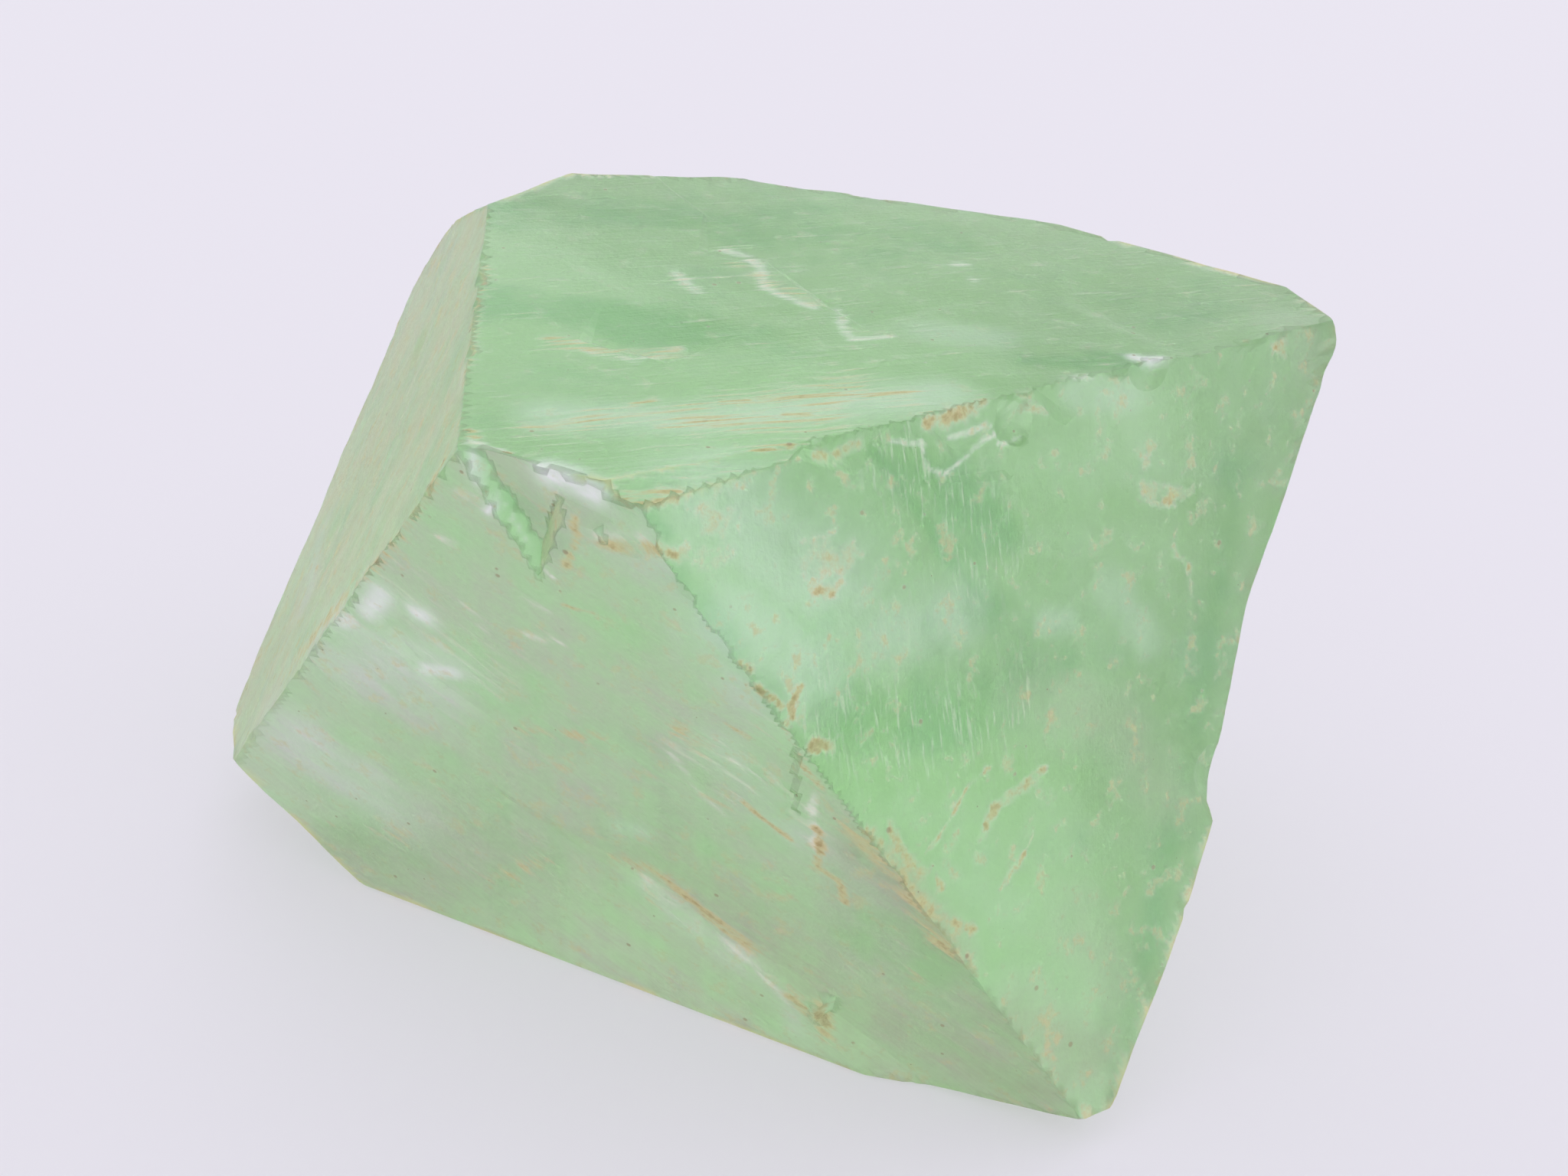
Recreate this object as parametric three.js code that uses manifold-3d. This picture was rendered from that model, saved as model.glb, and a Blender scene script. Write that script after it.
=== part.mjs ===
// A loose cleavage octahedron of green fluorite, resting on one of its faces.
// Fluorite splits along four plane directions, so the crystal is a block cut by four pairs of
// nearly parallel planes. Its ledges, flake scars and edge chips are cut into those faces.
// Units are millimetres, +Z is up, and the origin is under the middle of the crystal's box.

import * as THREE from 'three';
import { mergeVertices } from 'three/addons/utils/BufferGeometryUtils.js';
import Module from 'manifold-3d';

const wasm = await Module();
wasm.setup();

// Driving dimensions. Angles are in degrees.

const HEIGHT = 9.6;
const HEART = new THREE.Vector3(-0.063, 0.066, HEIGHT / 2);

// An octahedron lying on one face has six side faces, which lean this far from upright.
const LEAN = THREE.MathUtils.radToDeg(Math.asin(1 / 3));

// Each face looks along an azimuth (0 is +X, 90 is +Y) and an elevation, and lies at its reach
// from the heart. Real cleavage is a few degrees off the ideal where a face broke unevenly.
const FACES = {
  top: { azimuth: 0, elevation: 90, reach: HEIGHT / 2 },
  rest: { azimuth: 0, elevation: -90, reach: HEIGHT / 2 },
  right: { azimuth: -30, elevation: LEAN, reach: 6.08 },
  front: { azimuth: 269, elevation: -LEAN, reach: 4.99 },
  left: { azimuth: 208.3, elevation: LEAN + 4.6, reach: 5.35 },
  backLeft: { azimuth: 152, elevation: -LEAN - 2.5, reach: 6.63 },
  back: { azimuth: 103, elevation: LEAN - 2, reach: 4.82 },
  backRight: { azimuth: 31.4, elevation: -LEAN - 0.5, reach: 6.17 },
};

// Corners and ridges that broke away along a plane of their own.
const BREAKS = {
  topLeft: { azimuth: 170.5, elevation: 58.5, reach: 6.25 },
  topBack: { azimuth: 122, elevation: 50, reach: 5.97 },
  footLeft: { azimuth: 231, elevation: -39, reach: 7.15 },
  footRight: { azimuth: -34, elevation: -77, reach: 6.0 },
  nearRidge: { azimuth: -34, elevation: 57.6, reach: 6.63 },
  frontRidge: { azimuth: -80, elevation: 35, reach: 8.36 },
  backFoot: { azimuth: 84, elevation: -48, reach: 7.62 },
  farBack: { azimuth: 83, elevation: 20, reach: 5.94 },
  farRight: { azimuth: 47, elevation: 10, reach: 7.85 },
  lowRight: { azimuth: 31.4, elevation: -LEAN - 6, reach: 6.13 },
};

// A ledge is a thin layer split off a face. At a place on the face, across then up, its floor
// lies at a depth, and the floor climbs back to the face over a distance along an angle that is
// measured from across. The layer ends at walls that slant down to the floor. A wall passes
// through a place and looks along an angle, towards the side where the layer is gone. Where a
// wall isn't as steep as the rest, its own slant follows.
const WALL_SLANT = 45;
const GENTLE = 68;
const FAINT = 82;
const LEDGES = [
  // The long broken step across the foot of the front face, in three runs.
  { face: 'front', at: [3.4, -2.2], depth: 0.17, fade: [170, 5.2], walls: [[0.87, -0.6, 61, GENTLE]] },
  {
    face: 'front', at: [3.4, -2.2], depth: 0.17, fade: [170, 5.2],
    walls: [[1.65, -1.23, 40, GENTLE], [2.35, -1.75, 70, GENTLE]],
  },
  {
    face: 'front', at: [3.4, -2.2], depth: 0.17, fade: [170, 5.2],
    walls: [[3.09, -2.25, 45, GENTLE], [3.36, -3.0, -10]],
  },
  // The triangular notch in the short front ridge, and the step under the near corner.
  { face: 'front', at: [0.5, 5.4], depth: 0.2, fade: [90, 9], walls: [[0.14, 5.6, 22], [0.65, 5.52, 157]] },
  { face: 'front', at: [1.2, 6.1], depth: 0.2, fade: [60, 4], walls: [[1.2, 6.1, 80], [0.74, 5.9, 12]] },
  // A thin splinter gone from the front face.
  {
    face: 'front', at: [-2.1, 3.2], depth: 0.07, fade: [20, 1.6],
    walls: [[-2.3, 3.1, 35, GENTLE], [-1.9, 2.4, 62, GENTLE]],
  },
  // The hackly plates under the right ridge.
  {
    face: 'right', at: [-0.4, 2.02], depth: 0.05, fade: [80, 3],
    walls: [[-1.22, 2.5, 14, GENTLE], [-0.4, 2.02, 84, GENTLE], [0.52, 2.4, 158, GENTLE]],
  },
  {
    face: 'right', at: [-0.1, 2.36], depth: 0.08, fade: [80, 3],
    walls: [[-0.86, 2.6, 40, GENTLE], [-0.1, 2.36, 104, GENTLE], [0.4, 2.7, 170, GENTLE]],
  },
  {
    face: 'right', at: [-0.1, 2.7], depth: 0.12, fade: [90, 3],
    walls: [[-0.4, 2.75, 52, GENTLE], [0.2, 2.7, 128, GENTLE]],
  },
  {
    face: 'right', at: [-2.0, 2.7], depth: 0.07, fade: [100, 3],
    walls: [[-2.6, 2.72, 66, GENTLE], [-1.5, 2.7, 112, GENTLE]],
  },
  {
    face: 'right', at: [1.3, 2.7], depth: 0.08, fade: [80, 3],
    walls: [[0.8, 2.8, 50, GENTLE], [1.9, 2.74, 116, GENTLE]],
  },
  // The low plate by the near corner of the right face stands proud of two sunken strips.
  {
    face: 'right', at: [-1.4, 1.8], depth: 0.04, fade: [20, 1.5],
    walls: [[-1.4, 1.75, 22, FAINT], [-0.9, 0.6, 75, FAINT]],
  },
  {
    face: 'right', at: [-1.9, 0.4], depth: 0.04, fade: [-76, 1.5],
    walls: [[-1.9, 0.42, -77, FAINT], [-1.0, 0.5, 205, FAINT]],
  },
  // Thin layers gone from the top face.
  {
    face: 'top', at: [-0.3, 0.15], depth: 0.06, fade: [90, 2.0],
    walls: [[-0.3, 0.12, 92, GENTLE], [-1.1, 0.4, 24, GENTLE], [0.3, 0.6, 150, FAINT]],
  },
  {
    face: 'top', at: [1.2, -0.6], depth: 0.06, fade: [70, 2.2],
    walls: [[0.7, -0.27, 53, GENTLE], [1.8, -0.95, 64, GENTLE], [2.4, -0.6, 160, FAINT]],
  },
  {
    face: 'top', at: [-0.3, -3.4], depth: 0.06, fade: [85, 1.2],
    walls: [[-0.3, -3.52, 92, GENTLE], [-0.9, -3.3, 16, GENTLE], [0.5, -3.2, 165, GENTLE]],
  },
  {
    face: 'top', at: [4.4, 0.6], depth: 0.06, fade: [60, 2.6],
    walls: [[4.2, 0.4, 20, FAINT], [3.2, 1.6, 66, FAINT]],
  },
  // A slab gone from the upper half of the back right face, deepest halfway up the right edge.
  {
    face: 'backRight', at: [0, 3.81], depth: 0.56, fade: [90, 9.1],
    walls: [[-4.4, -0.41, 88, 82], [-4.4, 1.0, 88]],
  },
  {
    face: 'backRight', at: [0.4, -1.6], depth: 0.18, fade: [90, 6],
    walls: [[0.6, -2.3, 150], [0.2, -1.6, 40]],
  },
  // Steps on the faces behind.
  { face: 'back', at: [0, 0.9], depth: 0.16, fade: [90, 4], walls: [[-1.2, 1.1, 70], [1.4, 0.5, 118]] },
  {
    face: 'back', at: [2.5, -2.0], depth: 0.13, fade: [-10, 4],
    walls: [[2.2, -1.6, -35], [2.9, -3.0, 60]],
  },
  {
    face: 'backLeft', at: [0, -1.0], depth: 0.18, fade: [100, 4.5],
    walls: [[-1.0, -0.4, 128], [0.8, -1.8, 64]],
  },
  { face: 'backLeft', at: [1.7, 2.2], depth: 0.1, fade: [10, 3], walls: [[1.6, 2.2, 12]] },
  {
    face: 'left', at: [0.2, -3.0], depth: 0.08, fade: [170, 2],
    walls: [[0.4, -2.4, 200, GENTLE], [0.1, -3.9, 150, GENTLE]],
  },
];

// A scar is the shallow shell-shaped hollow that a flake leaves, cut by a ball. Each one is
// given by its middle on a face, across and up, its width and its depth, and a scar that ends
// in a step has walls like a ledge's.
const SCARS = [
  { face: 'front', at: [3.0, 2.7], width: 2.85, depth: 0.26, walls: [[3.58, 1.7, 176]] },
  { face: 'front', at: [4.0, 1.6], width: 1.7, depth: 0.2, walls: [[4.3, 1.1, 150]] },
  { face: 'front', at: [1.75, 6.35], width: 1.15, depth: 0.24, walls: [] },
  { face: 'front', at: [5.9, -1.9], width: 1.1, depth: 0.24, walls: [] },
  { face: 'right', at: [0.42, 2.62], width: 0.62, depth: 0.13, walls: [] },
  { face: 'right', at: [2.75, 2.95], width: 0.7, depth: 0.1, walls: [] },
  { face: 'right', at: [5.7, 2.4], width: 0.8, depth: 0.08, walls: [] },
  { face: 'right', at: [3.35, -2.7], width: 0.8, depth: 0.1, walls: [] },
  { face: 'back', at: [0.4, 3.2], width: 1.9, depth: 0.16, walls: [] },
  { face: 'back', at: [-3.2, -1.2], width: 1.7, depth: 0.13, walls: [[-2.8, -1.2, 160]] },
  { face: 'backLeft', at: [3.1, -3.6], width: 2.4, depth: 0.2, walls: [] },
  { face: 'backRight', at: [2.4, 1.9], width: 2.0, depth: 0.38, walls: [] },
  { face: 'left', at: [-1.6, 0.6], width: 0.8, depth: 0.06, walls: [] },
];

// Small chips bitten out of the edges: the two faces that meet there, where the chips start and
// end along the edge from its middle, how many there are, and how far the ledges moved the edge in.
const EDGE_CHIPS = [
  { faces: ['top', 'right'], from: -4.6, to: 5.0, count: 12, inset: 0 },
  { faces: ['top', 'front'], from: -0.9, to: 1.1, count: 4, inset: 0.02 },
  { faces: ['right', 'front'], from: -5.2, to: 5.0, count: 12, inset: 0.02 },
  { faces: ['front', 'left'], from: -4.8, to: 4.9, count: 9, inset: 0 },
  { faces: ['top', 'left'], from: -4.0, to: 3.6, count: 7, inset: 0 },
  { faces: ['top', 'back'], from: -4.2, to: 3.2, count: 8, inset: 0 },
  { faces: ['right', 'backRight'], from: -4.4, to: 4.6, count: 7, inset: 0 },
  { faces: ['left', 'backLeft'], from: -4.6, to: 4.0, count: 6, inset: 0 },
  { faces: ['back', 'backLeft'], from: -3.2, to: 3.6, count: 6, inset: 0 },
  { faces: ['back', 'backRight'], from: -3.0, to: 4.2, count: 6, inset: 0 },
];
const CHIP_RADIUS = [0.14, 0.46];
const CHIP_BITE = [0.03, 0.1];
const GOLDEN = (Math.sqrt(5) - 1) / 2;

const BLOCK = 40;
const SCAR_FACETS = 5;
const CHIP_FACETS = 3;

// A unit vector along an azimuth and an elevation.
function direction({ azimuth, elevation }) {
  const across = THREE.MathUtils.degToRad(azimuth);
  const up = THREE.MathUtils.degToRad(elevation);
  return new THREE.Vector3(
    Math.cos(up) * Math.cos(across),
    Math.cos(up) * Math.sin(across),
    Math.sin(up),
  );
}

// A face's normal and its two axes: across is level and up climbs the face, seen from outside.
function faceAxes(name) {
  const normal = direction(FACES[name]);
  const upright = Math.abs(FACES[name].elevation) === 90;
  const across = upright
    ? new THREE.Vector3(1, 0, 0)
    : new THREE.Vector3(0, 0, 1).cross(normal).normalize();
  const up = normal.clone().cross(across);
  return { normal, across, up };
}

// The point at (across, up) on a face, moved along the normal by out.
function pointOnFace(name, [s, t], out = 0) {
  const { normal, across, up } = faceAxes(name);
  return HEART.clone()
    .addScaledVector(normal, FACES[name].reach + out)
    .addScaledVector(across, s)
    .addScaledVector(up, t);
}

// A closed solid from a geometry, with only its corner positions kept and shared.
function solidOf(geometry) {
  const bare = geometry.clone();
  bare.deleteAttribute('normal');
  bare.deleteAttribute('uv');
  const merged = mergeVertices(bare, 1e-5);
  return new wasm.Manifold(new wasm.Mesh({
    numProp: 3,
    vertProperties: new Float32Array(merged.attributes.position.array),
    triVerts: new Uint32Array(merged.index.array),
  }));
}

// Everything beyond a plane: a large box standing on it.
function beyond(point, normal) {
  const box = new THREE.BoxGeometry(BLOCK, BLOCK, BLOCK).translate(0, 0, BLOCK / 2);
  const turn = new THREE.Quaternion().setFromUnitVectors(new THREE.Vector3(0, 0, 1), normal);
  box.applyQuaternion(turn).translate(point.x, point.y, point.z);
  return solidOf(box);
}

function beyondReach(plane) {
  const normal = direction(plane);
  return beyond(HEART.clone().addScaledVector(normal, plane.reach), normal);
}

// Everything past a ledge's wall, which slants up from the wall's place on the face.
function pastWall(face, [s, t, angle, slant = WALL_SLANT]) {
  const { normal, across, up } = faceAxes(face);
  const lean = THREE.MathUtils.degToRad(slant);
  const turn = THREE.MathUtils.degToRad(angle);
  const wall = across.clone().multiplyScalar(Math.cos(turn) * Math.cos(lean))
    .addScaledVector(up, Math.sin(turn) * Math.cos(lean))
    .addScaledVector(normal, Math.sin(lean));
  return beyond(pointOnFace(face, [s, t]), wall);
}

function withinWalls(cut, { face, walls }) {
  return walls.reduce((rest, wall) => rest.intersect(pastWall(face, wall)), cut);
}

// The layer missing from a face: all that lies above its floor and past each of its walls.
function ledge({ face, at, depth, fade: [angle, distance], walls }) {
  const { normal, across, up } = faceAxes(face);
  const turn = THREE.MathUtils.degToRad(angle);
  const climb = depth / distance;
  const floor = normal.clone()
    .addScaledVector(across, -climb * Math.cos(turn))
    .addScaledVector(up, -climb * Math.sin(turn))
    .normalize();
  return withinWalls(beyond(pointOnFace(face, at, -depth), floor), { face, walls });
}

function ball(centre, radius, detail) {
  const geometry = new THREE.IcosahedronGeometry(radius, detail);
  return solidOf(geometry.translate(centre.x, centre.y, centre.z));
}

// A ball whose cap has the scar's width and depth, kept to the inner side of its walls.
function scar({ face, at, width, depth, walls }) {
  const radius = (width * width / 4 + depth * depth) / (2 * depth);
  const detail = Math.round(SCAR_FACETS * radius / width * 2);
  return withinWalls(ball(pointOnFace(face, at, radius - depth), radius, detail), { face, walls });
}

// The middle and the direction of the edge where two faces meet: the middle is its point
// nearest to the heart.
function edgeLine([first, second]) {
  const a = direction(FACES[first]);
  const b = direction(FACES[second]);
  const cosine = a.dot(b);
  const share = 1 - cosine * cosine;
  const middle = HEART.clone()
    .addScaledVector(a, (FACES[first].reach - FACES[second].reach * cosine) / share)
    .addScaledVector(b, (FACES[second].reach - FACES[first].reach * cosine) / share);
  return { middle, along: a.clone().cross(b).normalize(), outward: a.clone().add(b).normalize() };
}

// Chips along an edge. Golden-ratio steps spread their places, sizes and bites.
function chips({ faces, from, to, count, inset }, edgeNumber) {
  const { middle, along, outward } = edgeLine(faces);
  const bites = [];
  for (let k = 0; k < count; k += 1) {
    const shift = (GOLDEN * (k + 1 + 3 * edgeNumber)) % 1;
    const size = (GOLDEN * GOLDEN * (2 * k + 1 + edgeNumber)) % 1;
    const place = from + (to - from) * (k + 0.15 + 0.7 * shift) / count;
    const radius = CHIP_RADIUS[0] + (CHIP_RADIUS[1] - CHIP_RADIUS[0]) * size;
    const bite = CHIP_BITE[0] + (CHIP_BITE[1] - CHIP_BITE[0]) * shift * size;
    const centre = middle.clone()
      .addScaledVector(along, place)
      .addScaledVector(outward, radius - bite - inset);
    bites.push(ball(centre, radius, CHIP_FACETS));
  }
  return bites;
}

function crystalSolid() {
  const block = new THREE.BoxGeometry(BLOCK, BLOCK, BLOCK).translate(HEART.x, HEART.y, HEART.z);
  const cuts = [
    ...Object.values(FACES).map(beyondReach),
    ...Object.values(BREAKS).map(beyondReach),
    ...LEDGES.map(ledge),
    ...SCARS.map(scar),
    ...EDGE_CHIPS.flatMap(chips),
  ];
  return cuts.reduce((solid, cut) => solid.subtract(cut), solidOf(block));
}

function geometryOf(solid) {
  const mesh = solid.getMesh();
  const geometry = new THREE.BufferGeometry();
  geometry.setAttribute('position', new THREE.BufferAttribute(mesh.vertProperties, 3));
  geometry.setIndex(new THREE.BufferAttribute(mesh.triVerts, 1));
  return geometry;
}

const paleGreen = new THREE.MeshStandardMaterial({
  color: 0x9fcfae,
  roughness: 0.3,
  metalness: 0,
  transparent: true,
  opacity: 0.85,
});

const crystal = new THREE.Mesh(geometryOf(crystalSolid()), paleGreen);
crystal.name = 'crystal';

const specimen = new THREE.Group();
specimen.add(crystal);

export default specimen;
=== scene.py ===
# %% [markdown]
# # A cleavage octahedron of green fluorite
# Fluorite splits cleanly along four plane directions. A broken lump of it often ends up as an
# octahedron: eight flat faces, with ledges, flake scars and chips where the splitting ran out.
# This lesson loads the solid crystal, grows a finer skin over the same planes, weathers it, paints shade,
# highlights and sheen onto it, and lights it like a table-top close-up.

# %% Load the solid crystal
import math

import bpy
import numpy as np
from mathutils import Matrix, Vector


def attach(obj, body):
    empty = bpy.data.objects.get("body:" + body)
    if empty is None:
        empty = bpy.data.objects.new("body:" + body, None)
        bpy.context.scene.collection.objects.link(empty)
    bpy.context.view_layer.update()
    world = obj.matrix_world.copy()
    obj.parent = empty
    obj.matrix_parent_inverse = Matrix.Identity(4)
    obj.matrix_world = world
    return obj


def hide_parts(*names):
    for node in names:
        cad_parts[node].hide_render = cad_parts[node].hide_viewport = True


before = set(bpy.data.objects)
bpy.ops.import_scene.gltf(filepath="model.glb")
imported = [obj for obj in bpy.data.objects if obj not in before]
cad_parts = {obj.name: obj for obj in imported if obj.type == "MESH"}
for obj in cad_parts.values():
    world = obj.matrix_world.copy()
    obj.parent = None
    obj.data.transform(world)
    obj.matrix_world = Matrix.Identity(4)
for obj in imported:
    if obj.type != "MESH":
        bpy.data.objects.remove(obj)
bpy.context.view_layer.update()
MM = 0.001

# %% [markdown]
# ## The planes
# Every face is a plane: a direction it looks along and its reach from the crystal's heart. An
# octahedron lying on one face has a top, a rest face and six sides that lean by the angle whose
# sine is one third. One could extrude and bevel a block by hand, but naming the planes keeps
# every edge exactly straight, and each later cut can be given in a face's own two axes.

# %% Faces and broken corners
HEIGHT = 9.6
HEART = np.array([-0.063, 0.066, HEIGHT / 2])
LEAN = math.degrees(math.asin(1 / 3))
# face: azimuth and elevation in degrees, reach in millimetres
FACES = {
    "top": (0, 90, HEIGHT / 2),
    "rest": (0, -90, HEIGHT / 2),
    "right": (-30, LEAN, 6.08),
    "front": (269, -LEAN, 4.99),
    "left": (208.3, LEAN + 4.6, 5.35),
    "backLeft": (152, -LEAN - 2.5, 6.63),
    "back": (103, LEAN - 2, 4.82),
    "backRight": (31.4, -LEAN - 0.5, 6.17),
}
BREAKS = {
    "topLeft": (170.5, 58.5, 6.25),
    "topBack": (122, 50, 5.97),
    "footLeft": (231, -39, 7.15),
    "footRight": (-34, -77, 6.0),
    "nearRidge": (-34, 57.6, 6.63),
    "frontRidge": (-80, 35, 8.36),
    "backFoot": (84, -48, 7.62),
    "farBack": (83, 20, 5.94),
    "farRight": (47, 10, 7.85),
    "lowRight": (31.4, -LEAN - 6, 6.13),
}


def direction(azimuth, elevation):
    """The unit vector at an azimuth from +X and an elevation above level."""
    around = math.radians(azimuth)
    above = math.radians(elevation)
    level = math.cos(above)
    return np.array([level * math.cos(around), level * math.sin(around), math.sin(above)])


def face_axes(face):
    """A face's normal, its level axis across and its axis up the face, seen from outside."""
    azimuth, elevation, _ = FACES[face]
    normal = direction(azimuth, elevation)
    across = np.array([1.0, 0.0, 0.0])
    if abs(elevation) != 90:
        across = np.cross([0, 0, 1], normal)
        across = across / np.linalg.norm(across)
    return normal, across, np.cross(normal, across)


def on_face(face, place, out=0.0):
    """The point at (across, up) on a face, moved out along its normal, measured from the heart."""
    normal, across, up = face_axes(face)
    return normal * (FACES[face][2] + out) + across * place[0] + up * place[1]


print(len(FACES), "faces and", len(BREAKS), "broken corners")

# %% [markdown]
# ## Ledges, scars and chips
# A ledge is a thin layer split off a face: a floor at some depth that climbs back to the face,
# ended by slanted walls. A scar is the shell-shaped hollow of a flake, so a ball cuts it. Chips
# are small balls set along the edges. All of these are convex, which matters in the next step:
# a straight ray meets a convex cut exactly once on its way out.

# %% Ledges and scars
WALL_SLANT = 45
GENTLE = 68
FAINT = 82
FOOT_STEP = ((3.4, -2.2), 0.17, (170, 5.2))
# face, place, depth, (angle, distance) of the fade, walls as (across, up, angle) and maybe a slant
LEDGES = [
    ("front", *FOOT_STEP, [(0.87, -0.6, 61, GENTLE)]),
    ("front", *FOOT_STEP, [(1.65, -1.23, 40, GENTLE), (2.35, -1.75, 70, GENTLE)]),
    ("front", *FOOT_STEP, [(3.09, -2.25, 45, GENTLE), (3.36, -3.0, -10)]),
    ("front", (0.5, 5.4), 0.2, (90, 9), [(0.14, 5.6, 22), (0.65, 5.52, 157)]),
    ("front", (1.2, 6.1), 0.2, (60, 4), [(1.2, 6.1, 80), (0.74, 5.9, 12)]),
    ("front", (-2.1, 3.2), 0.07, (20, 1.6), [(-2.3, 3.1, 35, GENTLE), (-1.9, 2.4, 62, GENTLE)]),
    ("right", (-0.4, 2.02), 0.05, (80, 3),
     [(-1.22, 2.5, 14, GENTLE), (-0.4, 2.02, 84, GENTLE), (0.52, 2.4, 158, GENTLE)]),
    ("right", (-0.1, 2.36), 0.08, (80, 3),
     [(-0.86, 2.6, 40, GENTLE), (-0.1, 2.36, 104, GENTLE), (0.4, 2.7, 170, GENTLE)]),
    ("right", (-0.1, 2.7), 0.12, (90, 3), [(-0.4, 2.75, 52, GENTLE), (0.2, 2.7, 128, GENTLE)]),
    ("right", (-2.0, 2.7), 0.07, (100, 3), [(-2.6, 2.72, 66, GENTLE), (-1.5, 2.7, 112, GENTLE)]),
    ("right", (1.3, 2.7), 0.08, (80, 3), [(0.8, 2.8, 50, GENTLE), (1.9, 2.74, 116, GENTLE)]),
    ("right", (-1.4, 1.8), 0.04, (20, 1.5), [(-1.4, 1.75, 22, FAINT), (-0.9, 0.6, 75, FAINT)]),
    ("right", (-1.9, 0.4), 0.04, (-76, 1.5), [(-1.9, 0.42, -77, FAINT), (-1.0, 0.5, 205, FAINT)]),
    ("top", (-0.3, 0.15), 0.06, (90, 2.0),
     [(-0.3, 0.12, 92, GENTLE), (-1.1, 0.4, 24, GENTLE), (0.3, 0.6, 150, FAINT)]),
    ("top", (1.2, -0.6), 0.06, (70, 2.2),
     [(0.7, -0.27, 53, GENTLE), (1.8, -0.95, 64, GENTLE), (2.4, -0.6, 160, FAINT)]),
    ("top", (-0.3, -3.4), 0.06, (85, 1.2),
     [(-0.3, -3.52, 92, GENTLE), (-0.9, -3.3, 16, GENTLE), (0.5, -3.2, 165, GENTLE)]),
    ("top", (4.4, 0.6), 0.06, (60, 2.6), [(4.2, 0.4, 20, FAINT), (3.2, 1.6, 66, FAINT)]),
    ("backRight", (0, 3.81), 0.56, (90, 9.1), [(-4.4, -0.41, 88, 82), (-4.4, 1.0, 88)]),
    ("backRight", (0.4, -1.6), 0.18, (90, 6), [(0.6, -2.3, 150), (0.2, -1.6, 40)]),
    ("back", (0, 0.9), 0.16, (90, 4), [(-1.2, 1.1, 70), (1.4, 0.5, 118)]),
    ("back", (2.5, -2.0), 0.13, (-10, 4), [(2.2, -1.6, -35), (2.9, -3.0, 60)]),
    ("backLeft", (0, -1.0), 0.18, (100, 4.5), [(-1.0, -0.4, 128), (0.8, -1.8, 64)]),
    ("backLeft", (1.7, 2.2), 0.1, (10, 3), [(1.6, 2.2, 12)]),
    ("left", (0.2, -3.0), 0.08, (170, 2), [(0.4, -2.4, 200, GENTLE), (0.1, -3.9, 150, GENTLE)]),
]
# face, middle, width, depth, walls
SCARS = [
    ("front", (3.0, 2.7), 2.85, 0.26, [(3.58, 1.7, 176)]),
    ("front", (4.0, 1.6), 1.7, 0.2, [(4.3, 1.1, 150)]),
    ("front", (1.75, 6.35), 1.15, 0.24, []),
    ("front", (5.9, -1.9), 1.1, 0.24, []),
    ("right", (0.42, 2.62), 0.62, 0.13, []),
    ("right", (2.75, 2.95), 0.7, 0.1, []),
    ("right", (5.7, 2.4), 0.8, 0.08, []),
    ("right", (3.35, -2.7), 0.8, 0.1, []),
    ("back", (0.4, 3.2), 1.9, 0.16, []),
    ("back", (-3.2, -1.2), 1.7, 0.13, [(-2.8, -1.2, 160)]),
    ("backLeft", (3.1, -3.6), 2.4, 0.2, []),
    ("backRight", (2.4, 1.9), 2.0, 0.38, []),
    ("left", (-1.6, 0.6), 0.8, 0.06, []),
]
print(len(LEDGES), "ledges and", len(SCARS), "scars")

# %% Chips along the edges
# two faces, start and end along the edge from its middle, count, how far the edge moved in
EDGE_CHIPS = [
    (("top", "right"), -4.6, 5.0, 12, 0.0),
    (("top", "front"), -0.9, 1.1, 4, 0.02),
    (("right", "front"), -5.2, 5.0, 12, 0.02),
    (("front", "left"), -4.8, 4.9, 9, 0.0),
    (("top", "left"), -4.0, 3.6, 7, 0.0),
    (("top", "back"), -4.2, 3.2, 8, 0.0),
    (("right", "backRight"), -4.4, 4.6, 7, 0.0),
    (("left", "backLeft"), -4.6, 4.0, 6, 0.0),
    (("back", "backLeft"), -3.2, 3.6, 6, 0.0),
    (("back", "backRight"), -3.0, 4.2, 6, 0.0),
]
CHIP_RADIUS = (0.14, 0.46)
CHIP_BITE = (0.03, 0.1)
GOLDEN = (math.sqrt(5) - 1) / 2


def edge_line(first, second):
    """Where two faces meet: the edge's point nearest the heart, its direction and its outward side."""
    a = direction(*FACES[first][:2])
    b = direction(*FACES[second][:2])
    cosine = a @ b
    share = 1 - cosine * cosine
    reach_a = FACES[first][2]
    reach_b = FACES[second][2]
    middle = (a * (reach_a - reach_b * cosine) + b * (reach_b - reach_a * cosine)) / share
    along = np.cross(a, b)
    outward = a + b
    return middle, along / np.linalg.norm(along), outward / np.linalg.norm(outward)


def edge_chips():
    """Balls strung along each edge. Golden-ratio steps spread their places, sizes and bites."""
    balls = []
    for edge, (faces, start, end, count, inset) in enumerate(EDGE_CHIPS):
        middle, along, outward = edge_line(*faces)
        for k in range(count):
            shift = GOLDEN * (k + 1 + 3 * edge) % 1
            size = GOLDEN * GOLDEN * (2 * k + 1 + edge) % 1
            place = start + (end - start) * (k + 0.15 + 0.7 * shift) / count
            radius = CHIP_RADIUS[0] + (CHIP_RADIUS[1] - CHIP_RADIUS[0]) * size
            bite = CHIP_BITE[0] + (CHIP_BITE[1] - CHIP_BITE[0]) * shift * size
            balls.append((middle + along * place + outward * (radius - bite - inset), radius))
    return balls


print(len(edge_chips()), "edge chips")

# %% [markdown]
# ## The skin as rays from the heart
# The skin could be sculpted or remeshed, but both round off the crisp edges that make a crystal.
# Instead rays leave a point inside the crystal in all directions, and each ray stops at the first
# plane or cut that it meets. The directions are six square grids on a cube, blown up to a sphere:
# two parameters per grid. The point sits towards the near corner, so the rays are closer together
# on the faces with the most detail.

# %% Ray directions
GRID = 128
EYE = np.array([0.86, -2.1, 1.3])


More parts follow.
